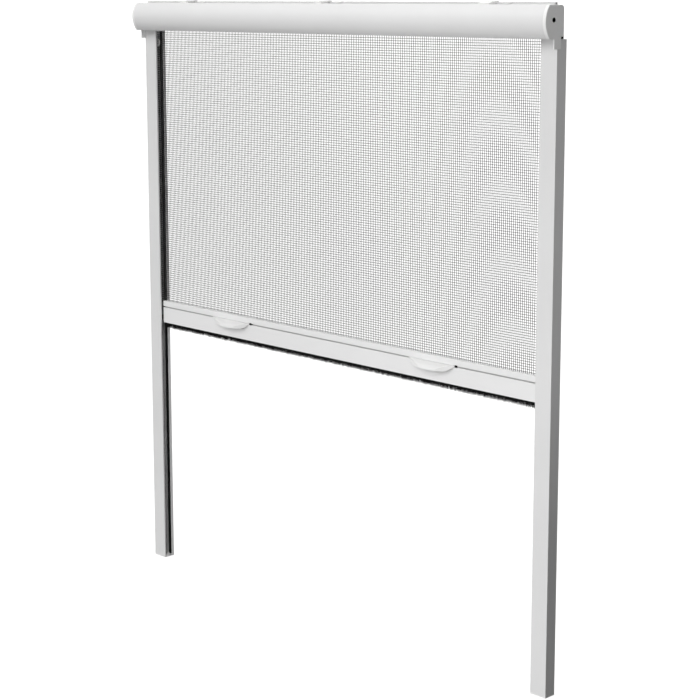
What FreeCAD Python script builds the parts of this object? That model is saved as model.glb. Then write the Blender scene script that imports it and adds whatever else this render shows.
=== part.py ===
"""Roller fly screen for a window: cassette, guide rails, pull bar and mesh.

Lengths are millimetres. X runs to the right, the front faces -Y and Z points up.
The origin is on the plane of the rails' backs, midway between them, at the sill.
"""
import FreeCAD, Part
import os
import re

import Sketcher

doc = FreeCAD.newDocument("RollerScreen")

# Driving dimensions: name, value, meaning.
SIZES = [
    ("overall_width", 890.0, "outside of one guide rail to outside of the other"),
    ("rail_top", 922.0, "sill to the upper end of the rails, where the cassette sits"),
    ("rail_face", 28.0, "width of a guide rail seen from the front"),
    ("rail_depth", 20.0, "front to back of a guide rail"),
    ("rail_wall", 1.4, "wall of the guide rail"),
    ("chamber_width", 12.0, "outside of the rail to the far side of its closed chamber"),
    ("groove_edge", 0.8, "wall between the rail's mouth and a brush groove"),
    ("groove_width", 4.6, "inner width of a brush groove"),
    ("groove_mouth", 2.6, "opening of a brush groove"),
    ("groove_depth", 0.9, "inner depth of a brush groove"),
    ("groove_lip", 0.6, "lip that holds the brush strip"),
    ("rear_bead", 4.4, "depth of the bead behind the mesh"),
    ("strip_play", 0.1, "play of a brush strip in its groove"),
    ("strip_back", 0.8, "backing of a brush strip"),
    ("front_pile", 3.9, "front brush: groove floor to tip of the pile"),
    ("rear_pile", 5.7, "rear brush: groove floor to tip of the pile"),
    ("pile_root", 2.2, "width of the pile where it leaves the groove"),
    ("pile_spread", 5.0, "width of the pile at its tip"),
    ("rail_brush_end", 2.0, "brush strip kept back from the rail's end"),
    ("foot_plate", 2.0, "plate of the foot under the rail"),
    ("foot_plug", 24.0, "height of the foot's plug inside the rail"),
    ("foot_wall", 2.0, "wall of the hollow plug"),
    ("foot_stub", 3.5, "height of the stub that closes the rail's slot"),
    ("plug_play", 0.2, "play of plugs and tongues in the rail"),
    ("stop_height", 11.7, "height of the ring that stops the bar"),
    ("stop_drop", 14.9, "upper end of the rail to the top of the stop ring"),
    ("stop_depth", 7.1, "front to back of the stop ring"),
    ("stop_thick", 2.6, "thickness of the stop ring across the slot"),
    ("stop_inset", 1.4, "rail's mouth to the stop ring"),
    ("stop_hole", 1.9, "radius of the stop ring's round ends inside"),
    ("stop_leg", 3.6, "height of the leg behind the stop ring"),
    ("cassette_height", 45.4, "height of the cassette"),
    ("cassette_reach", 46.5, "rails' back plane to the cassette's foremost line"),
    ("crown_drop", 21.5, "top of the cassette to its foremost line"),
    ("cassette_top_reach", 38.5, "rails' back plane to the cassette's upper front edge"),
    ("cassette_foot_reach", 37.5, "rails' back plane to the cassette's lower front edge"),
    ("cassette_back", 7.5, "rails' back plane to the back of the cassette"),
    ("cassette_corner", 5.5, "radius of the cassette's upper rear corner"),
    ("cassette_wall", 1.3, "wall of the cassette"),
    ("crown_slant", 1.15, "wall along the flats where the crown meets them, in walls"),
    ("exit_slot", 3.6, "opening in the cassette's floor where the mesh comes out"),
    ("cap_plate", 5.0, "thickness of an end cap"),
    ("cap_proud", 1.2, "end cap stands out from the rail's side"),
    ("cap_rim", 8.0, "rim of the end cap inside the cassette"),
    ("cap_rim_wall", 2.0, "wall of that rim"),
    ("cap_play", 0.15, "play of the rim in the cassette"),
    ("cap_edge", 0.6, "broken outer edge of the cap"),
    ("tongue_drop", 18.0, "length of the cap's tongue inside the rail"),
    ("tongue_depth", 10.2, "front to back of the tongue"),
    ("tab_drop", 13.3, "length of the cap's tab outside the rail"),
    ("tab_reach", 8.0, "tab stands forward of the rail's face"),
    ("tab_lap", 6.0, "tab reaches back over the rail's side"),
    ("tab_lip", 1.8, "thickness of the tab in front of the rail"),
    ("notch_depth", 5.1, "front to back of the notch under the cap"),
    ("notch_height", 3.1, "height of that notch"),
    ("notch_back", 1.2, "back of the cap to the notch"),
    ("axis_back", 29.3, "rails' back plane to the roller's axis"),
    ("axis_drop", 20.1, "top of the cassette to the roller's axis"),
    ("boss_radius", 5.5, "hub of the end cap that carries the roller"),
    ("boss_length", 20.0, "length of that hub"),
    ("bore_radius", 3.35, "screw hole through the cap into the hub"),
    ("bore_depth", 12.0, "depth of the screw hole"),
    ("hub_play", 0.06, "running play of the roller on the hubs"),
    ("tube_radius", 9.5, "outside of the roller tube"),
    ("tube_wall", 1.2, "wall of the roller tube"),
    ("roll_radius", 11.5, "outside of the mesh on the roller"),
    ("plug_flange", 2.0, "flange of a roller plug"),
    ("plug_body", 18.0, "length of a roller plug inside the tube"),
    ("roller_gap", 2.2, "roller to the rim of the end cap"),
    ("rod_radius", 2.5, "rod inside the spring"),
    ("rod_length", 170.0, "hub to the far end of the rod"),
    ("rod_grip", 6.0, "rod held inside the hub"),
    ("spring_radius", 6.5, "outside of the torsion spring"),
    ("spring_wire", 1.5, "wire of the torsion spring"),
    ("spring_length", 130.0, "length of the wound spring"),
    ("spring_start", 14.0, "hub to the near end of the spring"),
    ("anchor_length", 14.0, "plug that ties the spring's far end to the tube"),
    ("mesh_plane", 9.4, "rails' back plane to the middle of the mesh"),
    ("mesh_thick", 0.5, "thickness of the mesh"),
    ("mesh_tuck", 10.0, "mesh reaches this far into each rail"),
    ("mesh_edge", 3.0, "woven thread between two gaps"),
    ("mesh_rib", 0.35, "thread standing out of the mesh"),
    ("mesh_rib_width", 1.6, "width of such a thread"),
    ("mesh_columns", 15.0, "gaps across the mesh"),
    ("mesh_rows", 8.0, "gaps down the mesh"),
    ("mesh_clear", 0.3, "mesh kept off the roll"),
    ("bar_rest", 422.4, "sill to the bar's underside in the photographed position"),
    ("bar_height", 37.4, "height of the pull bar"),
    ("bar_depth", 10.6, "front to back of the pull bar"),
    ("bar_setback", 4.3, "front of the rails to the front of the bar"),
    ("bar_wall", 1.3, "wall of the pull bar"),
    ("bar_end_gap", 0.8, "bar's end to the rail's mouth"),
    ("grip_slot_height", 27.3, "bar's underside to the middle of its grip slot"),
    ("grip_slot_mouth", 2.0, "opening of the grip slot"),
    ("grip_slot_room", 4.8, "inner height of the grip slot"),
    ("grip_slot_depth", 2.2, "inner depth of the grip slot"),
    ("keder_radius", 1.6, "round edge strip that holds the mesh in the bar"),
    ("keder_room", 2.2, "half the inner width of its channel"),
    ("keder_mouth", 1.6, "opening of its channel"),
    ("bar_groove_width", 5.2, "inner width of the bar's brush groove"),
    ("bar_groove_mouth", 2.8, "opening of the bar's brush groove"),
    ("bar_groove_depth", 1.1, "inner depth of the bar's brush groove"),
    ("bar_groove_lip", 0.9, "lip of the bar's brush groove"),
    ("bar_pile", 9.5, "brush below the bar"),
    ("bar_pile_spread", 4.4, "width of that brush at its tip"),
    ("slider_plate", 1.6, "end plate of the bar's slider"),
    ("slider_plug", 18.0, "slider's plug inside the bar"),
    ("slider_tongue", 13.8, "slider's tongue inside the rail"),
    ("slider_tongue_height", 8.0, "height of that tongue"),
    ("slider_tongue_thick", 4.2, "front to back of that tongue"),
    ("slider_tongue_rise", 3.6, "bar's underside to the tongue"),
    ("slider_setback", 1.9, "bar's front to the tongue"),
    ("grip_inset_left", 210.0, "outside of the left rail to the middle of the left grip"),
    ("grip_inset_right", 228.0, "outside of the right rail to the middle of the right grip"),
    ("grip_length", 92.0, "length of a grip"),
    ("grip_reach", 11.0, "grip stands out from the bar"),
    ("grip_height", 11.3, "height of a grip in the middle"),
    ("grip_rise", 16.9, "bar's underside to the lowest line of a grip"),
    ("grip_tip_height", 1.0, "height of a grip at its ends"),
    ("grip_shoulder", 16.0, "end of the grip to the low part of its lip"),
    ("grip_shoulder_rise", 1.4, "rise of the lip from the middle to there"),
    ("grip_ridge", 2.4, "depth of the grip's top, from the bar to the ridge"),
    ("grip_ridge_drop", 0.8, "fall of the top from the bar to the ridge"),
    ("grip_brow", 9.9, "fall of the hood from the bar to its lip"),
    ("grip_wall", 1.5, "wall of the hood round the finger hollow"),
    ("grip_roof", 2.4, "top of the grip to its finger hollow"),
    ("grip_vault", 33.0, "middle of the grip to the end of its finger hollow"),
    ("grip_foot", 30.0, "length of the foot that clips into the bar"),
    ("entry_width", 5.2, "cut beside a grip where its foot enters the slot"),
    ("entry_height", 4.0, "height of that cut"),
    ("grip_play", 0.2, "play of that foot in the slot"),
    ("strip_end", 6.2, "outside of the rail to the end of the top strip"),
    ("strip_front", 18.6, "rails' back plane to the front of the top strip"),
    ("strip_depth", 6.0, "front to back of the top strip"),
    ("strip_height", 3.4, "height of the top strip"),
    ("strip_wall", 1.0, "wall of the top strip"),
    ("clip_inset", 120.0, "outside of a rail to the middle of the clip near it"),
    ("clip_shift", 6.0, "middle clip set off to the left of the middle"),
    ("clip_width", 20.0, "width of a spring clip"),
    ("clip_front", 33.0, "rails' back plane to the front of a clip"),
    ("clip_thick", 1.1, "thickness of a clip over the strip"),
    ("clip_toe", 1.8, "thickness of a clip at its front"),
    ("clip_play", 0.15, "play of a clip over the strip"),
    ("leaf_gap", 8.0, "clip to its leaf"),
    ("leaf_width", 22.0, "width of the leaf"),
    ("leaf_arm", 1.0, "height of the leaf's arm"),
]

# The sheet holds each size under its own name.
sheet = doc.addObject("Spreadsheet::Sheet", "Sizes")
for row, (name, number, meaning) in enumerate(SIZES, 1):
    sheet.set(f"A{row}", meaning)
    sheet.set(f"B{row}", str(number))
    sheet.setAlias(f"B{row}", name)
doc.recompute()
NAMES = {name for name, number, meaning in SIZES}

LEFT, RIGHT = -1, 1
SIDES = (("left", LEFT), ("right", RIGHT))


def tied(formula):
    """The formula with each size written as its cell in the sheet."""
    return re.sub(r"[a-z][a-z0-9_]*", lambda word: cell(word.group()), formula)


def cell(word):
    """A size's name as an expression names it; any other word as it is."""
    return f"Sizes.{word}" if word in NAMES else word


def number(formula):
    """The formula's present value."""
    return float(sheet.evalExpression(tied(formula)))


def add(*formulas):
    """The sum of several formulas."""
    return " + ".join(f"({formula})" for formula in formulas)


def less(formula, *others):
    """A formula less the others."""
    return f"({formula})" + "".join(f" - ({other})" for other in others)


def new_body(label):
    """An empty body whose label names its file."""
    body = doc.addObject("PartDesign::Body", label.title().replace("_", ""))
    body.Label = label
    return body


def new_sketch(body, role, offset="0"):
    """A sketch on one of the body's own origin planes, moved along its normal."""
    plane = next(p for p in body.Origin.OriginFeatures if p.Role == role)
    sketch = body.newObject("Sketcher::SketchObject", body.Name + "Outline")
    sketch.AttachmentSupport = (plane, [""])
    sketch.MapMode = "FlatFace"
    sketch.setExpression(".AttachmentOffset.Base.z", tied(offset))
    return sketch


def pin_point(sketch, item, point, across, up):
    """Ties one point of a sketch to two formulas, measured from the origin."""
    for kind, formula in (("DistanceX", across), ("DistanceY", up)):
        rule = Sketcher.Constraint(kind, -1, 1, item, point, number(formula))
        index = sketch.addConstraint(rule)
        sketch.setExpression(f"Constraints[{index}]", tied(formula))


def spot(corner):
    """The present place of a corner given by two formulas."""
    return FreeCAD.Vector(number(corner[0]), number(corner[1]), 0)


def draw_loop(sketch, corners):
    """A closed outline. A corner with a third entry starts an arc through that point."""
    items = []
    for here, after in zip(corners, corners[1:] + corners[:1]):
        if len(here) == 3:
            edge = Part.Arc(spot(here), spot(here[2]), spot(after))
        else:
            edge = Part.LineSegment(spot(here), spot(after))
        item = sketch.addGeometry(edge, False)
        first = 1 if sketch.getPoint(item, 1).isEqual(spot(here), 1e-6) else 2
        items.append((item, first, 3 - first))
    following = items[1:] + items[:1]
    for (item, first, last), (next_item, next_first, _) in zip(items, following):
        sketch.addConstraint(Sketcher.Constraint("Coincident", item, last, next_item, next_first))
    for (item, first, last), corner in zip(items, corners):
        pin_point(sketch, item, first, corner[0], corner[1])
        if len(corner) == 3:
            middle = sketch.addGeometry(Part.Point(spot(corner[2])), True)
            pin_point(sketch, middle, 1, *corner[2])
            sketch.addConstraint(Sketcher.Constraint("PointOnObject", middle, 1, item))


def draw_circle(sketch, across, up, radius):
    """A circle whose centre and radius follow their formulas."""
    circle = Part.Circle(spot((across, up)), FreeCAD.Vector(0, 0, 1), number(radius))
    item = sketch.addGeometry(circle, False)
    pin_point(sketch, item, 3, across, up)
    index = sketch.addConstraint(Sketcher.Constraint("Radius", item, number(radius)))
    sketch.setExpression(f"Constraints[{index}]", tied(radius))


def pad(body, sketch, length):
    """Adds the sketch's outline, drawn out along its plane's normal."""
    feature = body.newObject("PartDesign::Pad", body.Name + "Pad")
    feature.Profile = sketch
    feature.setExpression("Length", tied(length))
    body.Tip = feature
    doc.recompute()
    return feature


def pocket(body, sketch, length, forward=True):
    """Cuts the outline along the plane's normal, or against it, and checks that it cut."""
    before = body.Shape.Volume
    feature = body.newObject("PartDesign::Pocket", body.Name + "Pocket")
    feature.Profile = sketch
    feature.Reversed = forward
    feature.setExpression("Length", tied(length))
    body.Tip = feature
    doc.recompute()
    if not body.Shape.Volume < before:
        raise ValueError(f"{body.Label}: a pocket cuts nothing")
    return feature


def span(side, near, far):
    """Where a pad along X starts, and its length, between two distances from the middle."""
    start = near if side == RIGHT else f"-({far})"
    return start, less(far, near)


def across_pad(body, side, near, far, *loops):
    """Pads outlines drawn in Y and Z between two distances from the middle."""
    start, length = span(side, near, far)
    sketch = new_sketch(body, "YZ_Plane", start)
    for corners in loops:
        draw_loop(sketch, corners)
    return pad(body, sketch, length)


def full_width_pad(body, half, *loops):
    """Pads outlines drawn in Y and Z evenly to both sides of the middle."""
    sketch = new_sketch(body, "YZ_Plane", f"-({half})")
    for corners in loops:
        draw_loop(sketch, corners)
    return pad(body, sketch, f"2 * ({half})")


def upright_pad(body, low, high, *loops):
    """Pads outlines drawn in X and Y between two heights."""
    sketch = new_sketch(body, "XY_Plane", low)
    for corners in loops:
        draw_loop(sketch, corners)
    return pad(body, sketch, less(high, low))


def box_loop(low_a, high_a, low_b, high_b):
    """The four corners of a rectangle."""
    return [(low_a, low_b), (high_a, low_b), (high_a, high_b), (low_a, high_b)]


def round_bar(body, side, near, far, radius, centre, bore=None):
    """A turned piece on an axis along X, with a bore if one is given."""
    start, length = span(side, near, far)
    sketch = new_sketch(body, "YZ_Plane", start)
    draw_circle(sketch, centre[0], centre[1], radius)
    if bore:
        draw_circle(sketch, centre[0], centre[1], bore)
    return pad(body, sketch, length)


# Places that several pieces share.
HALF = "overall_width / 2"
MOUTH = less(HALF, "rail_face")
MESH_HALF = add(MOUTH, "mesh_tuck")
CAP_FACE = add(HALF, "cap_proud")
CAP_INNER = less(CAP_FACE, "cap_plate")
RIM_END = less(CAP_INNER, "cap_rim")
HUB_END = less(CAP_INNER, "boss_length")
CASSETTE_TOP = "rail_top + cassette_height"
AXIS = ("-axis_back", less(CASSETTE_TOP, "axis_drop"))
RAIL_FRONT = "-rail_depth"
FRONT_FLOOR = "-rail_depth + rail_wall"
BEAD = "rail_wall + groove_depth + groove_lip"
FRONT_BEAD = add(RAIL_FRONT, BEAD)
REAR_FLOOR = "-rear_bead + groove_lip + groove_depth"
ROLLER_END = less(RIM_END, "roller_gap")
TUBE_END = less(ROLLER_END, "plug_flange")
BAR_FRONT = "-rail_depth + bar_setback"
BAR_BACK = "-rail_depth + bar_setback + bar_depth"
BAR_END = less(MOUTH, "bar_end_gap")
PROFILE_END = less(BAR_END, "slider_plate")


def bar_y(depth):
    """A place behind the bar's front, as a Y."""
    return add(BAR_FRONT, depth)


def bar_z(height):
    """A place above the bar's underside, as a Z."""
    return add("bar_rest", height)


def rail_x(side, inward):
    """A place in a guide rail, measured inwards from its outer side, as an X."""
    return f"{side} * ({HALF} - ({inward}))"


def make_rail(name, side):
    """A guide rail: a closed chamber outside, and a slot with two brush grooves inside."""
    far = less("rail_face", "groove_edge")
    near = less(far, "groove_width")
    shoulder = less(near, "groove_edge")
    middle = less(far, "groove_width / 2")
    jaw_in = less(middle, "groove_mouth / 2")
    jaw_out = add(middle, "groove_mouth / 2")
    web = add("chamber_width", "rail_wall")
    front_lip = less(FRONT_BEAD, "groove_lip")
    back_wall = "-rail_wall"
    rear_lip = "-rear_bead + groove_lip"
    outline = [
        ("0", RAIL_FRONT), ("rail_face", RAIL_FRONT), ("rail_face", FRONT_BEAD),
        (jaw_out, FRONT_BEAD), (jaw_out, front_lip), (far, front_lip), (far, FRONT_FLOOR),
        (near, FRONT_FLOOR), (near, front_lip), (jaw_in, front_lip), (jaw_in, FRONT_BEAD),
        (shoulder, FRONT_BEAD), (shoulder, FRONT_FLOOR), (web, FRONT_FLOOR), (web, back_wall),
        (shoulder, back_wall), (shoulder, "-rear_bead"), (jaw_in, "-rear_bead"),
        (jaw_in, rear_lip), (near, rear_lip), (near, REAR_FLOOR), (far, REAR_FLOOR),
        (far, rear_lip), (jaw_out, rear_lip), (jaw_out, "-rear_bead"),
        ("rail_face", "-rear_bead"), ("rail_face", "0"), ("0", "0"),
    ]
    chamber = box_loop("rail_wall", "chamber_width", FRONT_FLOOR, back_wall)
    body = new_body(f"guide_rail_{name}")
    loops = [[(rail_x(side, u), y) for u, y in loop] for loop in (outline, chamber)]
    upright_pad(body, "foot_plate", "rail_top", *loops)
    return body


def make_rail_brush(name, side, place):
    """A brush strip in a rail: its backing in the groove and its pile reaching out."""
    middle = less("rail_face", "groove_edge", "groove_width / 2")
    if place == "front":
        floor, away, tip, top = FRONT_FLOOR, 1, "front_pile", stop_bottom("rail_brush_end")
    else:
        floor, away, tip, top = REAR_FLOOR, -1, "rear_pile", "rail_top - rail_brush_end"
    half_back = less("groove_width / 2", "strip_play")
    lips = "groove_depth + groove_lip"
    half = [
        (half_back, "0"), (half_back, "strip_back"), ("pile_root / 2", "strip_back"),
        ("pile_root / 2", lips), ("pile_spread / 2", add(lips, "strip_play * 4")),
        ("pile_spread / 2", tip),
    ]
    inner = [(less(middle, u), d) for u, d in half]
    outer = [(add(middle, u), d) for u, d in reversed(half)]
    loop = [(rail_x(side, u), add(floor, f"{away} * ({d})")) for u, d in inner + outer]
    body = new_body(f"rail_brush_{place}_{name}")
    upright_pad(body, "foot_plate + rail_brush_end", top, loop)
    return body


def stop_bottom(gap="0"):
    """The height of the stop ring's lower end, less a gap."""
    return less("rail_top", "stop_drop", "stop_height", gap)


def make_rail_stop(name, side):
    """The small ring in the slot's upper end that stops the bar's slider."""
    low = stop_bottom()
    high = less("rail_top", "stop_drop")
    front = FRONT_BEAD
    back = add(FRONT_BEAD, "stop_depth")
    centre = add(FRONT_BEAD, "stop_depth / 2")
    outer_far = less(MOUTH, "-stop_inset")
    outer_near = add(outer_far, "stop_thick")
    ring_radius = "stop_depth / 2"
    lower = add(low, ring_radius)
    upper = less(high, ring_radius)
    hole_front = less(centre, "stop_hole")
    hole_back = add(centre, "stop_hole")
    ring = [
        (front, lower, (centre, low)), (back, lower), (back, upper, (centre, high)),
        (front, upper),
    ]
    hole = [
        (hole_front, lower, (centre, less(lower, "stop_hole"))), (hole_back, lower),
        (hole_back, upper, (centre, add(upper, "stop_hole"))), (hole_front, upper),
    ]
    body = new_body(f"rail_stop_{name}")
    across_pad(body, side, outer_far, outer_near, ring, hole)
    leg_low = less(add(lower, upper), "stop_leg")
    leg = box_loop(front, hole_front, f"({leg_low}) / 2", add(f"({leg_low}) / 2", "stop_leg"))
    web = less(HALF, "chamber_width", "rail_wall")
    across_pad(body, side, outer_far, web, leg)
    return body


def make_foot(name, side):
    """The plastic foot that closes the rail's lower end."""
    body = new_body(f"rail_foot_{name}")
    plate = box_loop(rail_x(side, "0"), rail_x(side, "rail_face"), RAIL_FRONT, "0")
    upright_pad(body, "0", "foot_plate", plate)
    inside = less("chamber_width", "plug_play")
    plug = box_loop(
        rail_x(side, "rail_wall + plug_play"), rail_x(side, inside),
        add(FRONT_FLOOR, "plug_play"), "-rail_wall - plug_play",
    )
    upright_pad(body, "foot_plate / 2", "foot_plate + foot_plug", plug)
    stub = box_loop(
        rail_x(side, add("chamber_width", "rail_wall", "plug_play")),
        rail_x(side, less("rail_face", "groove_edge")),
        add(FRONT_FLOOR, "front_pile", "4 * strip_play"),
        less(REAR_FLOOR, "rear_pile", "4 * strip_play"),
    )
    upright_pad(body, "foot_plate / 2", "foot_plate + foot_stub", stub)
    hollow = new_sketch(body, "XY_Plane")
    draw_loop(hollow, box_loop(
        rail_x(side, "rail_wall + plug_play + foot_wall"), rail_x(side, less(inside, "foot_wall")),
        add(FRONT_FLOOR, "plug_play", "foot_wall"), "-rail_wall - plug_play - foot_wall",
    ))
    pocket(body, hollow, less(add("foot_plate", "foot_plug"), "foot_wall"))
    return body


def cassette_outline(inset, slant="1"):
    """The cassette's D, set in by a distance: floor, crown, top and rear corner."""
    foot = add("rail_top", inset)
    top = less(CASSETTE_TOP, inset)
    back = f"-cassette_back - ({inset})"
    turn = "cassette_corner"
    corner_y = less("-cassette_back", turn)
    corner_z = less(CASSETTE_TOP, turn)
    radius = less(turn, inset)
    reach = f"({radius}) * cos(45 deg)"
    edge = f"({inset}) * {slant}"
    crown = (add("-cassette_reach", inset), less(CASSETTE_TOP, "crown_drop"))
    return [
        (back, foot), (add("-cassette_foot_reach", edge), foot, crown),
        (add("-cassette_top_reach", edge), top),
        (corner_y, top, (add(corner_y, reach), add(corner_z, reach))),
        (back, corner_z),
    ]


def make_cassette():
    """The cassette: a D-shaped shell, open where the mesh leaves it."""
    body = new_body("cassette")
    outer = cassette_outline("0")
    inner = cassette_outline("cassette_wall", "crown_slant")
    slot_edge = "-cassette_back - cassette_wall - exit_slot"
    outer_back, inner_back = outer[0], inner[0]
    loop = [(slot_edge, outer_back[1])] + outer[1:] + [outer_back]
    loop += [(inner_back[0], outer_back[1]), (inner[4][0], inner[4][1], inner[3][2])]
    loop += [inner[3][:2], (inner[2][0], inner[2][1], inner[1][2]), inner[1][:2]]
    loop += [(slot_edge, inner_back[1])]
    full_width_pad(body, CAP_INNER, loop)
    return body


def make_end_cap(name, side):
    """An end cap: plate, rim, hub for the roller, tongue in the rail and tab outside it."""
    body = new_body(f"end_cap_{name}")
    plate = across_pad(body, side, CAP_INNER, CAP_FACE, cassette_outline("0"))
    face = side * number(CAP_FACE)
    edges = [
        f"Edge{index}" for index, edge in enumerate(plate.Shape.Edges, 1)
        if abs(edge.BoundBox.XMin - face) < 1e-3 and abs(edge.BoundBox.XMax - face) < 1e-3
    ]
    broken = body.newObject("PartDesign::Chamfer", body.Name + "Edge")
    broken.Base = (plate, edges)
    broken.setExpression("Size", tied("cap_edge"))
    body.Tip = broken
    doc.recompute()
    rim_outside = cassette_outline("cassette_wall + cap_play", "crown_slant")
    rim_inside = cassette_outline("cassette_wall + cap_play + cap_rim_wall", "crown_slant")
    across_pad(body, side, RIM_END, CAP_INNER, rim_outside, rim_inside)
    round_bar(body, side, HUB_END, CAP_INNER, "boss_radius", AXIS)
    tongue_back = "-cassette_back - plug_play * 4"
    tongue = box_loop(
        less(tongue_back, "tongue_depth"), tongue_back,
        "rail_top - tongue_drop", "rail_top + cap_rim_wall",
    )
    across_pad(body, side, CAP_INNER, less(HALF, "rail_wall", "plug_play"), tongue)
    tab_low, tab_high = "rail_top - tab_drop", "rail_top + cap_rim_wall"
    tab_front = add(RAIL_FRONT, "-tab_reach")
    lap = box_loop(tab_front, add(RAIL_FRONT, "tab_lap"), tab_low, tab_high)
    across_pad(body, side, add(HALF, "plug_play"), CAP_FACE, lap)
    lip = box_loop(tab_front, less(RAIL_FRONT, "plug_play"), tab_low, tab_high)
    across_pad(body, side, less(CAP_FACE, "tab_lip"), CAP_FACE, lip)
    notch_inner = less(HALF, "rail_wall")
    notch_start, notch_length = span(side, notch_inner, CAP_FACE)
    notch = new_sketch(body, "YZ_Plane", notch_start)
    notch_back = "-cassette_back - notch_back"
    draw_loop(notch, [
        (notch_back, less("rail_top", "notch_height")), (notch_back, "rail_top + notch_height"),
        (less(notch_back, "notch_depth"), "rail_top + notch_height"),
        (less(notch_back, "notch_depth"), less("rail_top", "notch_height")),
    ])
    pocket(body, notch, notch_length)
    bore = new_sketch(body, "YZ_Plane", f"{side} * ({CAP_FACE})")
    draw_circle(bore, AXIS[0], AXIS[1], "bore_radius")
    pocket(body, bore, "bore_depth", forward=side == LEFT)
    if side == RIGHT:
        socket = new_sketch(body, "YZ_Plane", HUB_END)
        draw_circle(socket, AXIS[0], AXIS[1], "rod_radius")
        pocket(body, socket, "rod_grip")
    return body


def make_roller():
    """The spring roller: tube, wound mesh, two plugs on the hubs, rod, spring and anchor."""
    half = TUBE_END
    tube = new_body("roller_tube")
    sketch = new_sketch(tube, "YZ_Plane", f"-({half})")
    draw_circle(sketch, AXIS[0], AXIS[1], "tube_radius")
    draw_circle(sketch, AXIS[0], AXIS[1], "tube_radius - tube_wall")
    pad(tube, sketch, f"2 * ({half})")
    roll = new_body("mesh_roll")
    sketch = new_sketch(roll, "YZ_Plane", f"-({MESH_HALF})")
    draw_circle(sketch, AXIS[0], AXIS[1], "roll_radius")
    draw_circle(sketch, AXIS[0], AXIS[1], "tube_radius")
    pad(roll, sketch, f"2 * ({MESH_HALF})")
    pieces = [tube, roll]
    bearing = "boss_radius + hub_play"
    for name, side in SIDES:
        plug = new_body(f"roller_plug_{name}")
        start = less(TUBE_END, "plug_body")
        round_bar(plug, side, start, TUBE_END, "tube_radius - tube_wall", AXIS, bearing)
        round_bar(plug, side, TUBE_END, ROLLER_END, "tube_radius", AXIS, bearing)
        pieces.append(plug)
    rod = new_body("spring_rod")
    rod_end = less(HUB_END, "rod_length")
    round_bar(rod, RIGHT, rod_end, add(HUB_END, "rod_grip"), "rod_radius", AXIS)
    spring = new_body("torsion_spring")
    spring_near = less(HUB_END, "spring_start")
    spring_far = less(spring_near, "spring_length")
    inside = less("spring_radius", "spring_wire")
    round_bar(spring, RIGHT, spring_far, spring_near, "spring_radius", AXIS, inside)
    round_bar(spring, RIGHT, less(spring_near, "2 * spring_wire"), spring_near,
              inside, AXIS, "rod_radius")
    anchor = new_body("spring_anchor")
    anchor_near = less(spring_far, "spring_wire")
    round_bar(anchor, RIGHT, less(anchor_near, "anchor_length"), anchor_near,
              "tube_radius - tube_wall", AXIS, "rod_radius + hub_play")
    return pieces + [rod, spring, anchor]


def make_pull_bar():
    """The pull bar: hollow, with a grip slot in front, an edge channel and a brush groove."""
    wall = "bar_wall"
    slot_low = "grip_slot_height - grip_slot_mouth / 2"
    slot_high = "grip_slot_height + grip_slot_mouth / 2"
    room_low = "grip_slot_height - grip_slot_room / 2"
    room_high = "grip_slot_height + grip_slot_room / 2"
    room_back = add(wall, "grip_slot_depth")
    mesh = less("-mesh_plane", BAR_FRONT)
    keder_top = less("bar_height", wall)
    keder_low = less(keder_top, "2 * keder_room")
    brush = "bar_depth / 2"
    brush_top = "bar_groove_lip + bar_groove_depth"
    outline = [
        ("0", "0"), (less(brush, "bar_groove_mouth / 2"), "0"),
        (less(brush, "bar_groove_mouth / 2"), "bar_groove_lip"),
        (less(brush, "bar_groove_width / 2"), "bar_groove_lip"),
        (less(brush, "bar_groove_width / 2"), brush_top),
        (add(brush, "bar_groove_width / 2"), brush_top),
        (add(brush, "bar_groove_width / 2"), "bar_groove_lip"),
        (add(brush, "bar_groove_mouth / 2"), "bar_groove_lip"),
        (add(brush, "bar_groove_mouth / 2"), "0"), ("bar_depth", "0"),
        ("bar_depth", "bar_height"), (add(mesh, "keder_mouth / 2"), "bar_height"),
        (add(mesh, "keder_mouth / 2"), keder_top), (add(mesh, "keder_room"), keder_top),
        (add(mesh, "keder_room"), keder_low), (less(mesh, "keder_room"), keder_low),
        (less(mesh, "keder_room"), keder_top), (less(mesh, "keder_mouth / 2"), keder_top),
        (less(mesh, "keder_mouth / 2"), "bar_height"), ("0", "bar_height"),
        ("0", slot_high), (wall, slot_high), (wall, room_high), (room_back, room_high),
        (room_back, room_low), (wall, room_low), (wall, slot_low), ("0", slot_low),
    ]
    hollow_low = add(brush_top, wall)
    hollow_top = less(keder_low, wall)
    behind = add(room_back, wall)
    under = less(room_low, wall)
    back = less("bar_depth", wall)
    hollow = [
        (wall, hollow_low), (back, hollow_low), (back, hollow_top), (behind, hollow_top),
        (behind, under), (wall, under),
    ]
    body = new_body("pull_bar")
    loops = [[(bar_y(y), bar_z(z)) for y, z in loop] for loop in (outline, hollow)]
    full_width_pad(body, PROFILE_END, *loops)
    for name, side in SIDES:
        grip_end = add(f"{side} * ({HALF} - grip_inset_{name})", "grip_length / 2")
        entry = new_sketch(body, "XZ_Plane", less("0", BAR_FRONT))
        draw_loop(entry, box_loop(
            grip_end, add(grip_end, "entry_width"),
            bar_z("grip_slot_height - entry_height / 2"),
            bar_z("grip_slot_height + entry_height / 2"),
        ))
        pocket(body, entry, wall, forward=False)
    return body


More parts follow.
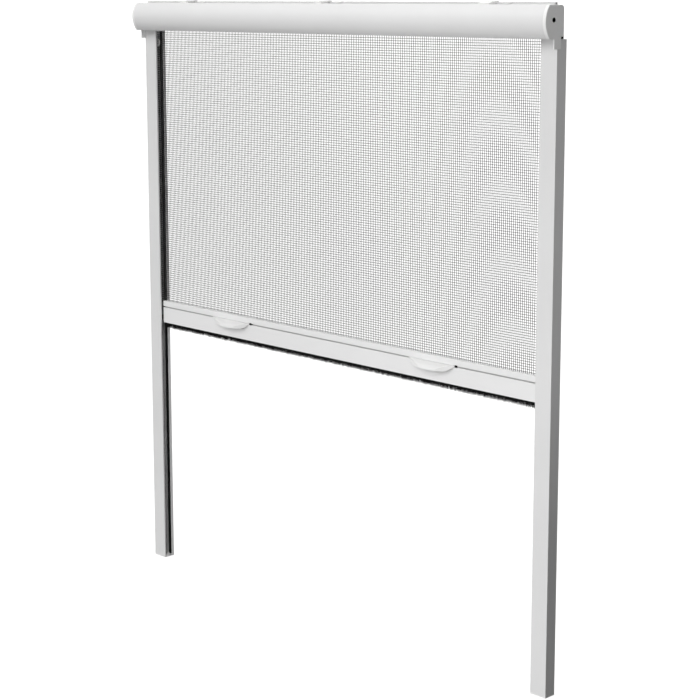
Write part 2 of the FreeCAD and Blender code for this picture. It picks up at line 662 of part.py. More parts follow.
def make_bar_brush():
    """The brush strip under the bar: backing in the groove, pile down to the sill."""
    lip = "bar_groove_lip"
    back_low = add(lip, "strip_play")
    back_high = "bar_groove_lip + bar_groove_depth"
    half = [
        ("bar_groove_width / 2 - strip_play", back_high),
        ("bar_groove_width / 2 - strip_play", back_low),
        ("bar_groove_mouth / 2 - 2 * strip_play", back_low),
        ("bar_groove_mouth / 2 - 2 * strip_play", "0"),
        ("bar_pile_spread / 2", "-bar_pile"),
    ]
    middle = "bar_depth / 2"
    front = [(bar_y(less(middle, y)), bar_z(z)) for y, z in half]
    rear = [(bar_y(add(middle, y)), bar_z(z)) for y, z in reversed(half)]
    body = new_body("bar_brush")
    full_width_pad(body, PROFILE_END, front + rear)
    return body


def make_bar_slider(name, side):
    """The bar's end piece: plug in the bar, end plate, and tongue in the rail."""
    body = new_body(f"bar_slider_{name}")
    plate = box_loop(bar_y("0"), bar_y("bar_depth"), bar_z("0"), bar_z("bar_height"))
    across_pad(body, side, PROFILE_END, BAR_END, plate)
    inner = "bar_wall + plug_play"
    plug_low = add("bar_groove_lip", "bar_groove_depth", inner)
    plug_high = "grip_slot_height - grip_slot_room / 2 - bar_wall - plug_play"
    plug = box_loop(bar_y(inner), bar_y(less("bar_depth", inner)),
                    bar_z(plug_low), bar_z(plug_high))
    across_pad(body, side, less(PROFILE_END, "slider_plug"), PROFILE_END, plug)
    tongue = box_loop(
        bar_y("slider_setback"), bar_y("slider_setback + slider_tongue_thick"),
        bar_z("slider_tongue_rise"), bar_z("slider_tongue_rise + slider_tongue_height"),
    )
    across_pad(body, side, BAR_END, add(MOUTH, "slider_tongue - bar_end_gap"), tongue)
    notch = new_sketch(body, "YZ_Plane", span(side, PROFILE_END, BAR_END)[0])
    draw_loop(notch, box_loop(
        less("-mesh_plane", "keder_mouth / 2"), add("-mesh_plane", "keder_mouth / 2"),
        bar_z("bar_height - bar_wall - keder_room"), bar_z("bar_height + bar_wall"),
    ))
    pocket(body, notch, "slider_plate")
    return body


def make_keder():
    """The round strip along the mesh's lower edge, held in the bar's channel."""
    body = new_body("mesh_edge_strip")
    middle = bar_z("bar_height - bar_wall - keder_room")
    start = f"-({PROFILE_END})"
    sketch = new_sketch(body, "YZ_Plane", start)
    draw_circle(sketch, "-mesh_plane", middle, "keder_radius")
    pad(body, sketch, f"2 * ({PROFILE_END})")
    return body


def make_vault(body, middle, low, high):
    """Hollows the hood of a grip out, highest and deepest in the middle."""
    sections = []
    for place, share in ((less(middle, "grip_vault"), 2), (middle, 1), (add(middle, "grip_vault"), 2)):
        section = new_sketch(body, "YZ_Plane", place)
        roof = less(high, f"grip_roof * (1 + {share}) / 2")
        draw_loop(section, [
            (BAR_FRONT, low), (BAR_FRONT, roof), (less(BAR_FRONT, f"grip_ridge / {share}"), roof),
            (less(BAR_FRONT, f"(grip_reach - grip_wall) / {share}"), low),
        ])
        sections.append(section)
    vault = body.newObject("PartDesign::SubtractiveLoft", body.Name + "Vault")
    vault.Profile = sections[0]
    vault.Sections = sections[1:]
    body.Tip = vault
    doc.recompute()


def make_grip(name, middle):
    """A hooded grip: it clips into the bar's slot, and the fingers pull it from underneath."""
    body = new_body(f"grip_{name}")
    low, high = bar_z("grip_rise"), bar_z("grip_rise + grip_height")
    root = BAR_FRONT
    front = less(root, "grip_reach")
    left, right = less(middle, "grip_length / 2"), add(middle, "grip_length / 2")
    upright_pad(body, low, high, [(left, root, (middle, front)), (right, root)])
    below = less(low, "grip_wall")
    tip = less(high, "grip_tip_height")
    shoulder = add(low, "grip_shoulder_rise")
    bend = add(low, "grip_height / 2")
    belly = new_sketch(body, "XZ_Plane", less("0", root))
    draw_loop(belly, [
        (left, below), (left, tip, (add(left, "grip_shoulder * 2 / 5"), bend)),
        (add(left, "grip_shoulder"), shoulder, (middle, low)),
        (less(right, "grip_shoulder"), shoulder, (less(right, "grip_shoulder * 2 / 5"), bend)),
        (right, tip), (right, below),
    ])
    pocket(body, belly, "grip_reach")
    brow = new_sketch(body, "YZ_Plane", left)
    ridge, ridge_top = less(root, "grip_ridge"), less(high, "grip_ridge_drop")
    swell = less(root, "grip_reach * 7 / 10")
    draw_loop(brow, [
        (root, high), (ridge, ridge_top, (swell, less(high, "grip_brow * 12 / 25"))),
        (front, less(high, "grip_brow")), (front, add(high, "grip_wall")),
        (root, add(high, "grip_wall")),
    ])
    pocket(body, brow, "grip_length")
    make_vault(body, middle, below, high)
    foot_start = less(middle, "grip_foot / 2")
    slot = bar_z("grip_slot_height")
    neck = box_loop(
        root, bar_y("bar_wall + 2 * grip_play"),
        less(slot, "grip_slot_mouth / 2", "-grip_play"),
        add(slot, "grip_slot_mouth / 2", "-grip_play"),
    )
    head = box_loop(
        bar_y("bar_wall + grip_play"), bar_y("bar_wall + grip_slot_depth - grip_play"),
        less(slot, "grip_slot_room / 2", "-grip_play"),
        add(slot, "grip_slot_room / 2", "-grip_play"),
    )
    for loop in (neck, head):
        sketch = new_sketch(body, "YZ_Plane", foot_start)
        draw_loop(sketch, loop)
        pad(body, sketch, "grip_foot")
    return body


def make_top_strip():
    """The channel along the cassette's top that the spring clips sit on."""
    front, back = "-strip_front", "-strip_front + strip_depth"
    top = add(CASSETTE_TOP, "strip_height")
    under = less(top, "strip_wall")
    inner_front, inner_back = add(front, "strip_wall"), less(back, "strip_wall")
    body = new_body("top_strip")
    full_width_pad(body, less(HALF, "strip_end"), [
        (front, CASSETTE_TOP), (front, top), (back, top), (back, CASSETTE_TOP),
        (inner_back, CASSETTE_TOP), (inner_back, under), (inner_front, under),
        (inner_front, CASSETTE_TOP),
    ])
    return body


def make_clip(name, middle):
    """A spring clip over the top strip, with a half-moon leaf beside it."""
    body = new_body(f"spring_clip_{name}")
    front = "-clip_front"
    strip_front = "-strip_front - clip_play"
    strip_back = "-strip_front + strip_depth + clip_play"
    over = add(CASSETTE_TOP, "strip_height", "clip_play")
    top = add(over, "clip_thick")
    start = less(middle, "clip_width / 2")
    saddle = new_sketch(body, "YZ_Plane", start)
    draw_loop(saddle, [
        (front, CASSETTE_TOP), (front, add(CASSETTE_TOP, "clip_toe")),
        (less(strip_front, "clip_thick"), less(top, "clip_thick")),
        (less(strip_front, "clip_thick / 2"), top), (add(strip_back, "clip_thick"), top),
        (add(strip_back, "clip_thick"), add(CASSETTE_TOP, "clip_play")),
        (strip_back, add(CASSETTE_TOP, "clip_play")), (strip_back, over),
        (strip_front, over), (strip_front, CASSETTE_TOP),
    ])
    pad(body, saddle, "clip_width")
    strip_top = add(CASSETTE_TOP, "strip_height")
    leaf_left = add(middle, "clip_width / 2", "leaf_gap")
    leaf_right = add(leaf_left, "leaf_width")
    arm_low = less(strip_top, "leaf_arm")
    leaf = new_sketch(body, "XZ_Plane", add("strip_front", "clip_play"))
    draw_loop(leaf, [
        (add(start, "clip_width / 2"), arm_low), (leaf_left, arm_low,
         (add(leaf_left, "leaf_width / 2"), add(CASSETTE_TOP, "clip_play"))),
        (leaf_right, arm_low), (leaf_right, strip_top), (add(start, "clip_width / 2"), strip_top),
    ])
    pad(body, leaf, "clip_thick")
    return body


def make_mesh():
    """The hanging mesh: one thin wall with gaps, and raised threads between them."""
    body = new_body("mesh_panel")
    half_thick = "mesh_thick / 2"
    front = less("-mesh_plane", half_thick)
    back = add("-mesh_plane", half_thick)
    bottom = add(bar_z("bar_height - bar_wall - keder_room"), "keder_radius")
    bend = add("rail_top", "cassette_wall", "exit_slot")
    roll_side = add("-axis_back", "roll_radius", "mesh_clear")
    top = AXIS[1]
    full_width_pad(body, MESH_HALF, [
        (front, bottom), (back, bottom), (back, bend), (add(roll_side, "mesh_thick"), top),
        (roll_side, top), (front, bend),
    ])
    window_low = bar_z("bar_height")
    window_high = "rail_top"
    window = less(MOUTH, "mesh_edge / 2")
    pitch_x = f"2 * ({window}) / mesh_columns"
    pitch_z = f"({less(window_high, window_low)}) / mesh_rows"
    left = f"-({window})"
    gap = new_sketch(body, "XZ_Plane", "mesh_plane - mesh_thick")
    draw_loop(gap, box_loop(
        add(left, "mesh_edge / 2"), less(add(left, pitch_x), "mesh_edge / 2"),
        add(window_low, "mesh_edge / 2"), less(add(window_low, pitch_z), "mesh_edge / 2"),
    ))
    first_gap = pocket(body, gap, "2 * mesh_thick")
    repeat(body, first_gap, (("X", pitch_x, "mesh_columns"), ("Z", pitch_z, "mesh_rows")))
    half_rib = "mesh_rib_width / 2"
    upright = new_sketch(body, "XY_Plane", bottom)
    draw_loop(upright, box_loop(
        less(left, half_rib), add(left, half_rib), less(front, "mesh_rib"), "-mesh_plane",
    ))
    first_upright = pad(body, upright, less(window_high, bottom))
    repeat(body, first_upright, (("X", pitch_x, "mesh_columns + 1"),))
    level = new_sketch(body, "YZ_Plane", f"-({MESH_HALF})")
    draw_loop(level, box_loop(
        "-mesh_plane", add(back, "mesh_rib"), less(window_low, half_rib),
        add(window_low, half_rib),
    ))
    first_level = pad(body, level, f"2 * ({MESH_HALF})")
    repeat(body, first_level, (("Z", pitch_z, "mesh_rows"),))
    return body


def repeat(body, feature, steps):
    """Copies a feature along one or two axes, each with its pitch and its count."""
    pattern = body.newObject("PartDesign::LinearPattern", feature.Name + "Pattern")
    pattern.Originals = [feature]
    for suffix, (axis, pitch, count) in zip(("", "2"), steps):
        line = next(a for a in body.Origin.OriginFeatures if a.Role == f"{axis}_Axis")
        setattr(pattern, "Direction" + suffix, (line, [""]))
        setattr(pattern, "Mode" + suffix, "Spacing")
        pattern.setExpression("Offset" + suffix, tied(pitch))
        pattern.setExpression("Occurrences" + suffix, tied(count))
    body.Tip = pattern
    doc.recompute()
    return pattern


parts = [make_cassette(), make_top_strip(), make_pull_bar(), make_bar_brush(), make_keder()]
for name, side in SIDES:
    parts += [make_rail(name, side), make_end_cap(name, side), make_foot(name, side)]
    parts += [make_rail_stop(name, side), make_bar_slider(name, side)]
    parts += [make_rail_brush(name, side, place) for place in ("front", "rear")]
    parts.append(make_grip(name, f"{side} * ({HALF} - grip_inset_{name})"))
    parts.append(make_clip(name, f"{side} * ({HALF} - clip_inset)"))
parts.append(make_clip("middle", "-clip_shift"))
parts += make_roller()
parts.append(make_mesh())
doc.recompute()

for thing in doc.Objects:
    if "Invalid" in thing.State or "Error" in thing.State:
        raise ValueError(f"{thing.Label} didn't compute: {thing.State}")
for part in parts:
    if part.Shape.isNull() or not part.Shape.isValid():
        raise ValueError(f"{part.Label} has no valid shape")

os.makedirs("parts", exist_ok=True)
for part in parts:
    part.Shape.exportStep(f"parts/{part.Label}.step")
    print(part.Label, len(part.Shape.Solids), round(part.Shape.Volume, 1))
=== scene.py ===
import math
import random

import bpy
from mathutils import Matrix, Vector


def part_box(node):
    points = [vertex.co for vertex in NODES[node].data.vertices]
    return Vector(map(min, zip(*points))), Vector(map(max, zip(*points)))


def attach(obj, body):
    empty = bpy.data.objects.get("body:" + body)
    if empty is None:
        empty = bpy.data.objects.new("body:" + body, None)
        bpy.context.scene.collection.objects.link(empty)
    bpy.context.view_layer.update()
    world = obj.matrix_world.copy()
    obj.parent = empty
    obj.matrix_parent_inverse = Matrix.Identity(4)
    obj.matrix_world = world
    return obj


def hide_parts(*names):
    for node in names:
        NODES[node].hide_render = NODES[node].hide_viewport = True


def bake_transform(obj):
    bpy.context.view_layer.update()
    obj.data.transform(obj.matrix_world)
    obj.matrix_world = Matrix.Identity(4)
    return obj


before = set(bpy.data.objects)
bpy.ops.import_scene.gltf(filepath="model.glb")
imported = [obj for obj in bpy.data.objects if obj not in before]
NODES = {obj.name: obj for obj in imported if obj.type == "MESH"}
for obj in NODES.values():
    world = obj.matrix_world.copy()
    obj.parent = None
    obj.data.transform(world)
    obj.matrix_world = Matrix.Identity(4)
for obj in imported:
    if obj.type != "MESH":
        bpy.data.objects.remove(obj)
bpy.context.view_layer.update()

SEED = 7
scene = bpy.context.scene
dice = random.Random(SEED)

# What all the materials share: the mottling, how uneven the gloss is, and the fine grain.
MOTTLE_ENDS = (0.3, 0.7)
MOTTLE_DETAIL = 4.0
GLOSS_SPREAD = 0.12
GRAIN_SCALE = 900.0
GRAIN_DETAIL = 2.0
GRAIN_STRENGTH = 0.25


def make_material(name, colour, roughness, tint=0.02, tint_scale=6.0, bump=0.0004,
                  metallic=0.0, gleam=0.5, stretch=(1, 1, 1)):
    """A paint, plastic or metal with slight mottling, uneven gloss and a fine surface grain."""
    material = bpy.data.materials.new(name)
    material.use_nodes = True
    tree = material.node_tree
    shader = tree.nodes["Principled BSDF"]
    shader.inputs["Metallic"].default_value = metallic
    shader.inputs["Specular IOR Level"].default_value = gleam
    place = tree.nodes.new("ShaderNodeTexCoord")
    mapping = tree.nodes.new("ShaderNodeMapping")
    mapping.inputs["Scale"].default_value = stretch
    tree.links.new(place.outputs["Object"], mapping.inputs["Vector"])
    cloud = tree.nodes.new("ShaderNodeTexNoise")
    cloud.inputs["Scale"].default_value = tint_scale
    cloud.inputs["Detail"].default_value = MOTTLE_DETAIL
    tree.links.new(mapping.outputs["Vector"], cloud.inputs["Vector"])
    ramp = tree.nodes.new("ShaderNodeValToRGB")
    for stop, end, change in zip(ramp.color_ramp.elements, MOTTLE_ENDS, (-tint, tint)):
        stop.position = end
        stop.color = [min(1, c * (1 + change)) for c in colour] + [1]
    tree.links.new(cloud.outputs["Fac"], ramp.inputs["Fac"])
    tree.links.new(ramp.outputs["Color"], shader.inputs["Base Color"])
    gloss = tree.nodes.new("ShaderNodeMapRange")
    gloss.inputs["To Min"].default_value = roughness * (1 - GLOSS_SPREAD)
    gloss.inputs["To Max"].default_value = min(1.0, roughness * (1 + GLOSS_SPREAD))
    tree.links.new(cloud.outputs["Fac"], gloss.inputs["Value"])
    tree.links.new(gloss.outputs["Result"], shader.inputs["Roughness"])
    fine = tree.nodes.new("ShaderNodeTexNoise")
    fine.inputs["Scale"].default_value = GRAIN_SCALE
    fine.inputs["Detail"].default_value = GRAIN_DETAIL
    tree.links.new(mapping.outputs["Vector"], fine.inputs["Vector"])
    relief = tree.nodes.new("ShaderNodeBump")
    relief.inputs["Strength"].default_value = GRAIN_STRENGTH
    relief.inputs["Distance"].default_value = bump
    tree.links.new(fine.outputs["Fac"], relief.inputs["Height"])
    tree.links.new(relief.outputs["Normal"], shader.inputs["Normal"])
    return material


COAT_BUMP = 0.00003
MOULD_BUMP = 0.00002
GROOVE_SHADE_GREY = (0.55, 0.55, 0.55)
SHADE_BLACK = (0.002, 0.002, 0.002)
# The cassette, rails, bar and strip have one white coat. The rails and the strip get darker copies of
# it as painted shade, and the bar a lighter copy as painted light.
paint = make_material("white_powder_coat", (0.82, 0.82, 0.82), 0.40, bump=COAT_BUMP)
rail_paint_shaded = make_material("white_rail_coat_shaded", (0.76, 0.76, 0.76), 0.42, bump=COAT_BUMP)
bar_paint_lit = make_material("white_bar_coat_lit", (0.84, 0.84, 0.84), 0.40, bump=COAT_BUMP)
strip_paint_shaded = make_material("white_strip_coat_shaded", (0.72, 0.72, 0.72), 0.42, bump=COAT_BUMP)
# Painted light: a lighter copy of the white coat for places the lamps light too little.
painted_light_coat = make_material("white_coat_painted_light", (0.95, 0.95, 0.95), 0.55, bump=COAT_BUMP)
cap_plastic = make_material("white_cap", (0.93, 0.93, 0.925), 0.5, bump=MOULD_BUMP)
plastic = make_material("white_moulding", (0.84, 0.84, 0.835), 0.34, bump=MOULD_BUMP)
grip_plastic = make_material("white_grip", (0.80, 0.80, 0.795), 0.38, bump=MOULD_BUMP)
# Painted light: the stop ring is lighter than the other mouldings, since it sits in the rail's shaded
# slot.
ring_plastic_lit = make_material("white_stop_ring_lit", (0.93, 0.93, 0.925), 0.45, bump=MOULD_BUMP)
black_plastic = make_material("black_moulding", (0.012, 0.012, 0.013), 0.5, bump=MOULD_BUMP)
# Painted shade: a black for deep holes and gaps, where shade falls.
hollow_shade_black = make_material("painted_shade_black", SHADE_BLACK, 1.0, gleam=0.0)
pile = make_material("black_pile", (0.010, 0.010, 0.010), 1.0, tint=0.5, tint_scale=90.0, gleam=0.05)
thread = make_material("grey_thread", (0.055, 0.055, 0.056), 0.6, tint=0.15, tint_scale=40.0, gleam=0.3)
metal = make_material("mill_metal", (0.75, 0.76, 0.77), 0.3, metallic=1.0, stretch=(0.05, 1, 1))
steel = make_material("spring_wire", (0.5, 0.5, 0.52), 0.3, metallic=1.0)
# Painted shade in the bar's groove: grey, with black behind each grip's cut.
groove_shade = make_material("groove_shade", GROOVE_SHADE_GREY, 0.6, bump=COAT_BUMP)

LOOKS = {
    "cassette": paint, "top_strip": strip_paint_shaded, "guide_rail": rail_paint_shaded, "pull_bar": bar_paint_lit,
    "end_cap": cap_plastic, "rail_foot": plastic, "rail_stop": ring_plastic_lit, "grip": grip_plastic,
    "spring_clip": plastic, "bar_slider": black_plastic, "rail_brush": pile, "bar_brush": pile,
    "mesh_panel": thread, "mesh_roll": thread, "mesh_edge": black_plastic, "roller_tube": metal,
    "roller_plug": black_plastic, "spring_rod": steel, "torsion_spring": steel,
    "spring_anchor": black_plastic,
}
for name, item in NODES.items():
    kind = next(k for k in LOOKS if name.startswith(k))
    item.data.materials.clear()
    item.data.materials.append(LOOKS[kind])
    for face in item.data.polygons:
        face.material_index = 0


def within(value, ends):
    """Whether a value lies between two ends."""
    return ends[0] <= value <= ends[1]


def dress_faces(name, material, chosen):
    """Gives one more material to those faces of a CAD node whose centre is in a chosen place."""
    data = NODES[name].data
    data.materials.append(material)
    for face in data.polygons:
        if chosen(face.center):
            face.material_index = len(data.materials) - 1


# The screw hole and the notch of each end cap are painted black as painted shade, since they are deep.
BORE_Y, BORE_Z, BORE_RADIUS = -0.0293, 0.9473, 0.00345
NOTCH_Y, NOTCH_Z = (-0.0139, -0.0086), (0.9219, 0.9252)
CAP_FACE = 0.4461


def in_cap_hollow(place):
    """Whether a place is in an end cap's screw hole or notch."""
    in_bore = math.hypot(place.y - BORE_Y, place.z - BORE_Z) < BORE_RADIUS
    in_notch = within(place.y, NOTCH_Y) and within(place.z, NOTCH_Z)
    return abs(place.x) < CAP_FACE and (in_bore or in_notch)


# Inside the rails and on top of the bar the coat is painted lighter, as painted light where the lamps
# reach too little.
RAIL_INSIDE_Y = (-0.0199, -0.0001)
RAIL_SIDE = 0.4449
BAR_LOW, BAR_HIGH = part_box("pull_bar")
BAR_FRONT = -0.0150
CROWN_DEPTH = 0.006


def in_rail(place):
    """Whether a place is inside a rail's outer faces."""
    return within(place.y, RAIL_INSIDE_Y) and abs(place.x) < RAIL_SIDE


def on_bar_crown(place):
    """Whether a place is on top of the bar, behind its front face."""
    return place.y > BAR_FRONT and place.z > BAR_HIGH.z - CROWN_DEPTH


# The back of the bar's groove is painted grey as painted shade, and black as painted shade behind the
# cut at the right end of each grip.
GROOVE_BACK = (-0.0123, -0.0121)
GROOVE_HEIGHT = (0.0245, 0.0300)
SHADE_LEFT, SHADE_RIGHT = -0.007, 0.002
HALF_METRE = 0.5


def on_groove_back(place):
    """Whether a place is on the back of the bar's groove."""
    return within(place.y, GROOVE_BACK) and within(place.z - BAR_LOW.z, GROOVE_HEIGHT)


def band_groove(material):
    """Turns a material's colour into bands of painted shade along the bar, which reach half a metre
    each way.
    """
    tree = material.node_tree
    mapping = tree.nodes.new("ShaderNodeMapping")
    mapping.inputs["Location"].default_value = (HALF_METRE, 0, 0)
    tree.links.new(tree.nodes["Texture Coordinate"].outputs["Object"], mapping.inputs["Vector"])
    gradient = tree.nodes.new("ShaderNodeTexGradient")
    tree.links.new(mapping.outputs["Vector"], gradient.inputs["Vector"])
    ramp = tree.nodes["Principled BSDF"].inputs["Base Color"].links[0].from_node
    tree.links.new(gradient.outputs["Color"], ramp.inputs["Fac"])
    bands = ramp.color_ramp
    bands.interpolation = "CONSTANT"
    bands.elements.remove(bands.elements[1])
    bands.elements[0].position = 0
    bands.elements[0].color = (*GROOVE_SHADE_GREY, 1)
    for grip in ("grip_left", "grip_right"):
        grip_end = HALF_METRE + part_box(grip)[1].x
        bands.elements.new(grip_end + SHADE_LEFT).color = (*SHADE_BLACK, 1)
        bands.elements.new(grip_end + SHADE_RIGHT).color = (*GROOVE_SHADE_GREY, 1)


band_groove(groove_shade)
for side in ("left", "right"):
    dress_faces(f"end_cap_{side}", hollow_shade_black, in_cap_hollow)
    dress_faces(f"guide_rail_{side}", painted_light_coat, in_rail)
dress_faces("pull_bar", painted_light_coat, on_bar_crown)
dress_faces("pull_bar", groove_shade, on_groove_back)

# Extruded and moulded edges are slightly rounded.
ROUNDING = {"cassette": 0.0004, "top_strip": 0.0002, "guide_rail": 0.0006, "pull_bar": 0.0004,
            "end_cap": 0.0003, "rail_foot": 0.0003, "grip": 0.0003, "spring_clip": 0.0001}
WELD_DISTANCE = 0.00001
ROUND_STEPS = 2
SHARP_ANGLE = 35
for name, item in NODES.items():
    kind = next((k for k in ROUNDING if name.startswith(k)), None)
    if kind:
        item.modifiers.new("joined_faces", "WELD").merge_threshold = WELD_DISTANCE
        bevel = item.modifiers.new("rounded_edges", "BEVEL")
        bevel.width = ROUNDING[kind]
        bevel.segments = ROUND_STEPS
        bevel.limit_method = "ANGLE"
        bevel.angle_limit = math.radians(SHARP_ANGLE)
        item.modifiers.new("even_shading", "WEIGHTED_NORMAL").keep_sharp = False
        for face in item.data.polygons:
            face.use_smooth = True


def piece(name, points, faces, material):
    """A mesh object with its material."""
    data = bpy.data.meshes.new(name)
    data.from_pydata([tuple(p) for p in points], [], [tuple(f) for f in faces])
    data.materials.append(material)
    data.update()
    item = bpy.data.objects.new(name, data)
    scene.collection.objects.link(item)
    return item


# The woven mesh: upright threads and level threads that weave over and under them.
PITCH = 0.00365
THREAD = 0.00066
THIN = THREAD * 0.3
WEAVE_LIFT = THIN * 1.1
MESH_Y = -0.0094
MESH_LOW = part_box("mesh_panel")[0].z
MESH_TURN = 0.9269
ROLL_Y = -0.0174
ROLL_Z = 0.9471
MESH_HALF = 0.427
MESH_WIDE = round(2 * MESH_HALF / PITCH)
STRIPS = 6
COLUMNS = [(k - MESH_WIDE / 2) * PITCH for k in range(MESH_WIDE + 1)]


def thread_path(points, faces, path, sides):
    """A four-sided thread along a path. sides are the two half widths as vectors."""
    first = len(points)
    a, b = sides
    for place in path:
        points += [place - a - b, place + a - b, place + a + b, place - a + b]
    for k in range(len(path) - 1):
        low, high = first + 4 * k, first + 4 * k + 4
        faces += [(low + i, low + (i + 1) % 4, high + (i + 1) % 4, high + i) for i in range(4)]
    last = first + 4 * (len(path) - 1)
    faces += [(first + 3, first + 2, first + 1, first), (last, last + 1, last + 2, last + 3)]


def weave(name, low, high):
    """A level strip of mesh between two lines along X, each given by its Y and Z."""
    points, faces = [], []
    start, end = Vector((0, *low)), Vector((0, *high))
    tall = (end - start).length
    up = (end - start).normalized()
    out = Vector((0, up.z, -up.y))
    wide = Vector((THREAD / 2, 0, 0))
    for x in COLUMNS:
        path = [start + Vector((x, 0, 0)), end + Vector((x, 0, 0))]
        thread_path(points, faces, path, (wide, out * THIN))
    row = math.ceil((start.z - MESH_LOW) / PITCH)
    run = row * PITCH - (start.z - MESH_LOW)
    while run < tall:
        lift = [WEAVE_LIFT if (k + row) % 2 else -WEAVE_LIFT for k in range(len(COLUMNS))]
        path = [start + up * run + out * rise + Vector((x, 0, 0)) for x, rise in zip(COLUMNS, lift)]
        thread_path(points, faces, path, (out * THIN, up * THREAD / 2))
        run += PITCH
        row += 1
    strip = piece(name, points, faces, thread)
    return strip


def share_to_height(share):
    """Height of a share of the way from the cassette down to the bar."""
    return MESH_TURN + (MESH_LOW - MESH_TURN) * share


# Each strip takes up an even share of the way from the cassette down to the bar. Where two strips meet,
# their ends lie at the same height.
for index in range(STRIPS):
    top_share, low_share = index / STRIPS, (index + 1) / STRIPS
    strip = weave(f"mesh_weave_{index + 1}", (MESH_Y, share_to_height(low_share)),
                  (MESH_Y, share_to_height(top_share)))
    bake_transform(strip)
    if index == 0:
        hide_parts("mesh_panel")
lead = weave("mesh_lead", (MESH_Y, MESH_TURN), (ROLL_Y, ROLL_Z))
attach(lead, "frame")

# A bristle is a thin three-sided spike. The shares say how tufts and bristles differ.
FIBRE = 0.00013
FIBRE_END = FIBRE * 0.4
ROOT_SHARE = 0.8
TUFT_SPREAD = 0.45
TUFT_LEAN = 0.3
TUFT_REACH = (0.88, 1.0)
SIDES = 3


def bristle(points, faces, ends, turn, axes):
    """A spike between two ends, each a centre and a half width. axes are those across it."""
    first = len(points)
    for centre, thick in ends:
        for k in range(SIDES):
            angle = turn + 2 * math.pi * k / SIDES
            shift = Vector()
            shift[axes[0]] = thick * math.cos(angle)
            shift[axes[1]] = thick * math.sin(angle)
            points.append(centre + shift)
    last = first + SIDES
    faces += [(first + k, first + (k + 1) % SIDES, last + (k + 1) % SIDES, last + k)
              for k in range(SIDES)]
    faces += [(first + 2, first + 1, first), (last, last + 1, last + 2)]


def brush(node, body, along, reach, backing, core, tip, tufts, bristles, longest, fade):
    """A brush strip with its backing, a dense core and tufts of loose bristles.

    along and reach are axes, reach with the sign of its growth. backing and core are half
    widths with their distances from the strip's back. tip is the half width at the bristles' ends.
    tufts is the spacing of the tufts, bristles the number in each, and longest the reach of the
    longest bristle as a share of the strip's depth. fade is the share that the shortest lacks.
    """
    low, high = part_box(node)
    axis, sign = abs(reach) - 1, math.copysign(1, reach)
    across = 3 - along - axis
    middle = (low[across] + high[across]) / 2
    back = low[axis] if sign > 0 else high[axis]
    depth = high[axis] - low[axis]

    def place(run, side, far):
        spot = Vector()
        spot[along], spot[across], spot[axis] = run, middle + side, back + sign * far
        return spot

    outline = backing + core
    outline = outline + [(-half, far) for half, far in outline[::-1]]
    count = len(outline)
    points = [place(end, half, far) for end in (low[along], high[along]) for half, far in outline]
    faces = [(k, (k + 1) % count, count + (k + 1) % count, count + k) for k in range(count)]
    faces += [tuple(range(count))[::-1], tuple(range(count, 2 * count))]
    root_half, root_far = core[-1]
    for step in range(int((high[along] - low[along]) / tufts)):
        foot = low[along] + tufts * (step + 0.5)
        lean = dice.uniform(-TUFT_LEAN, TUFT_LEAN) * tufts
        full = longest * dice.uniform(*TUFT_REACH)
        for _ in range(bristles):
            side = dice.uniform(-1, 1)
            run = foot + tufts * dice.uniform(-TUFT_SPREAD, TUFT_SPREAD)
            end = run + lean + (run - foot) * dice.uniform(-TUFT_LEAN, TUFT_LEAN)
            end = min(max(end, low[along] + FIBRE), high[along] - FIBRE)
            far = depth * full * (1 - fade * dice.random())
            turn = dice.uniform(0, 2 * math.pi)
            root = place(run, side * root_half * ROOT_SHARE, root_far * ROOT_SHARE)
            ends = ((root, FIBRE), (place(end, side * tip, far), FIBRE_END))
            bristle(points, faces, ends, turn, (along, across))
    item = piece(f"{node}_bristles", points, faces, pile)
    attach(item, body)
    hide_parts(node)


X_AXIS, Z_AXIS = 0, 2
TOWARDS_BACK, TOWARDS_FRONT, DOWNWARDS = 2, -2, -3
BAR_BACKING = [(0.0025, 0.0), (0.0025, 0.001), (0.0012, 0.001), (0.0012, 0.002)]
BAR_CORE = [(0.0012, 0.002), (0.0016, 0.0060)]
RAIL_BACKING = [(0.0022, 0.0), (0.0022, 0.0008), (0.0011, 0.0008), (0.0011, 0.0015)]
RAIL_CORE_ROOT, RAIL_CORE_HALF = (0.0019, 0.0019), 0.0021
brush("bar_brush", "pull_bar_body", X_AXIS, DOWNWARDS, BAR_BACKING, BAR_CORE,
      tip=0.0021, tufts=0.0021, bristles=48, longest=1.16, fade=0.42)
for side in ("left", "right"):
    for node, reach, dense, longest in (
        (f"rail_brush_front_{side}", TOWARDS_BACK, 0.0028, 1.06),
        (f"rail_brush_rear_{side}", TOWARDS_FRONT, 0.0042, 1.03),
    ):
        brush(node, "frame", Z_AXIS, reach, RAIL_BACKING, [RAIL_CORE_ROOT, (RAIL_CORE_HALF, dense)],
              tip=0.0024, tufts=0.0022, bristles=15, longest=longest, fade=0.22)

# The studio: a pale floor, a round backdrop, lamps and the camera. Floor and backdrop light nothing.
FLOOR_HALF = 60
FLOOR_COLOUR, FLOOR_GLOW = (0.30, 0.30, 0.30), 0.80
BACKDROP_RADIUS, BACKDROP_LOW, BACKDROP_HIGH = 50, -1, 60
BACKDROP_SIDES = 48
BACKDROP_COLOUR, BACKDROP_GLOW = (0.9, 0.9, 0.9, 1), 1.0
WORLD_COLOUR = (0.01, 0.01, 0.01, 1)
WHITE = (1, 1, 1, 1)


def glow(material, strength):
    """Lets a material shine white, and returns its shader."""
    shader = material.node_tree.nodes["Principled BSDF"]
    shader.inputs["Emission Color"].default_value = WHITE
    shader.inputs["Emission Strength"].default_value = strength
    return shader


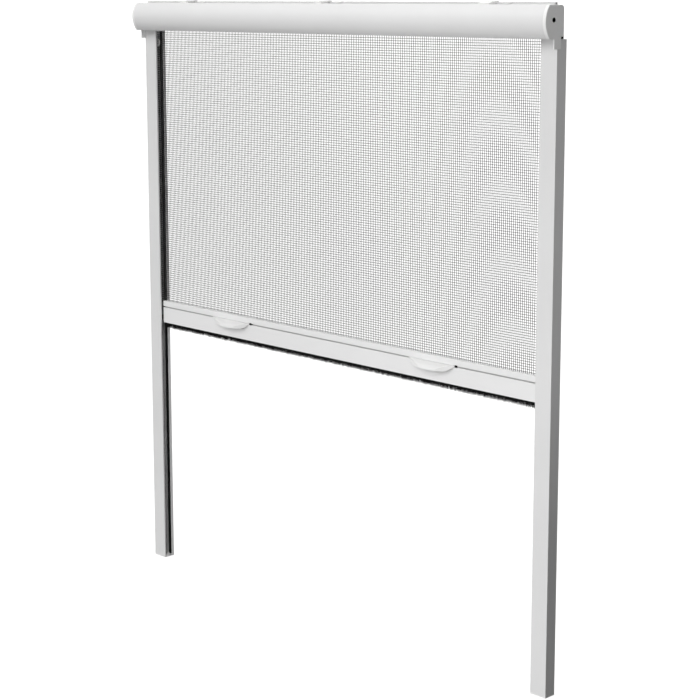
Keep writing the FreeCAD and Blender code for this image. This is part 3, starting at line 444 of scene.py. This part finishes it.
floor_look = make_material("floor_paint", FLOOR_COLOUR, 0.9, tint=0.005, bump=0.00001)
glow(floor_look, FLOOR_GLOW)
corners = [(-FLOOR_HALF, -FLOOR_HALF, 0), (FLOOR_HALF, -FLOOR_HALF, 0),
           (FLOOR_HALF, FLOOR_HALF, 0), (-FLOOR_HALF, FLOOR_HALF, 0)]
floor = piece("floor", corners, [(0, 1, 2, 3)], floor_look)
backdrop_look = bpy.data.materials.new("backdrop_paint")
backdrop_look.use_nodes = True
glow(backdrop_look, BACKDROP_GLOW).inputs["Base Color"].default_value = BACKDROP_COLOUR
angles = [2 * math.pi * k / BACKDROP_SIDES for k in range(BACKDROP_SIDES)]
ring = [(BACKDROP_RADIUS * math.cos(a), BACKDROP_RADIUS * math.sin(a)) for a in angles]
backdrop = piece("backdrop", [(x, y, z) for z in (BACKDROP_LOW, BACKDROP_HIGH) for x, y in ring],
                 [(k, (k + 1) % BACKDROP_SIDES, BACKDROP_SIDES + (k + 1) % BACKDROP_SIDES,
                   BACKDROP_SIDES + k) for k in range(BACKDROP_SIDES)], backdrop_look)
for item in (floor, backdrop):
    item.visible_diffuse = False
    item.visible_glossy = False
    item.visible_shadow = False

world = bpy.data.worlds.new("studio")
scene.world = world
world.use_nodes = True
world.node_tree.nodes["Background"].inputs["Color"].default_value = WORLD_COLOUR


def add_light(name, kind, energy, towards, place=(0, 0, 0)):
    """A lamp of one kind that shines from a direction."""
    lamp = bpy.data.lights.new(name, kind)
    lamp.energy = energy
    item = bpy.data.objects.new(name, lamp)
    item.location = place
    item.rotation_mode = "QUATERNION"
    item.rotation_quaternion = Vector(towards).to_track_quat("Z", "Y")
    scene.collection.objects.link(item)
    return lamp


# Each broad lamp has the direction it shines from, its level on a white surface, and its width.
for name, towards, level, width in (
    ("front_light", (-0.30, -0.80, 0.50), 0.45, 44),
    ("camera_light", (0.62, -0.62, 0.50), 0.22, 40),
    ("left_light", (-0.90, -0.30, 0.10), 0.21, 44),
    ("top_light", (0.0, 0.20, 1.0), 0.62, 50),
    ("low_light", (0.0, -0.50, -0.90), 0.07, 50),
    ("back_light", (-0.3, 0.9, 0.3), 0.45, 50),
):
    add_light(name, "SUN", level * math.pi, towards).angle = math.radians(width)
SIDE_PLACE, SIDE_AIM = Vector((2.05, -0.12, 0.98)), Vector((0.445, -0.01, 0.80))
SIDE_WATTS, SIDE_CONE, SIDE_BLEND, SIDE_SIZE = 12.5, 35, 0.45, 0.15
side_light = add_light("side_light", "SPOT", SIDE_WATTS, SIDE_PLACE - SIDE_AIM, SIDE_PLACE)
side_light.spot_size = math.radians(SIDE_CONE)
side_light.spot_blend = SIDE_BLEND
side_light.shadow_soft_size = SIDE_SIZE
NEAR_PLACE, NEAR_AIM = Vector((0.44, -2.0, 0.35)), Vector((0.43, 0.0, 0.35))
NEAR_WATTS, NEAR_SIZE = 13.2, 0.6
near_light = add_light("near_light", "AREA", NEAR_WATTS, NEAR_PLACE - NEAR_AIM, NEAR_PLACE)
near_light.size = NEAR_SIZE

CAMERA_PLACE = (1.89261, -1.81458, 0.9795)
CAMERA_DOWN, CAMERA_ROLL, CAMERA_TURN = 9.108, 0.031, 45.736
LENS, SENSOR = 88.10, 36.0
SHIFT_PIXELS, IMAGE_PIXELS = 80, 700
NEAREST, FARTHEST = 0.05, 200
camera = bpy.data.cameras.new("camera")
camera.lens = LENS
camera.sensor_width = SENSOR
camera.shift_y = -SHIFT_PIXELS / IMAGE_PIXELS
camera.clip_start = NEAREST
camera.clip_end = FARTHEST
eye = bpy.data.objects.new("camera", camera)
eye.location = CAMERA_PLACE
eye.rotation_euler = [math.radians(a) for a in (90 - CAMERA_DOWN, CAMERA_ROLL, CAMERA_TURN)]
scene.collection.objects.link(eye)
scene.camera = eye
scene.view_settings.view_transform = "Standard"
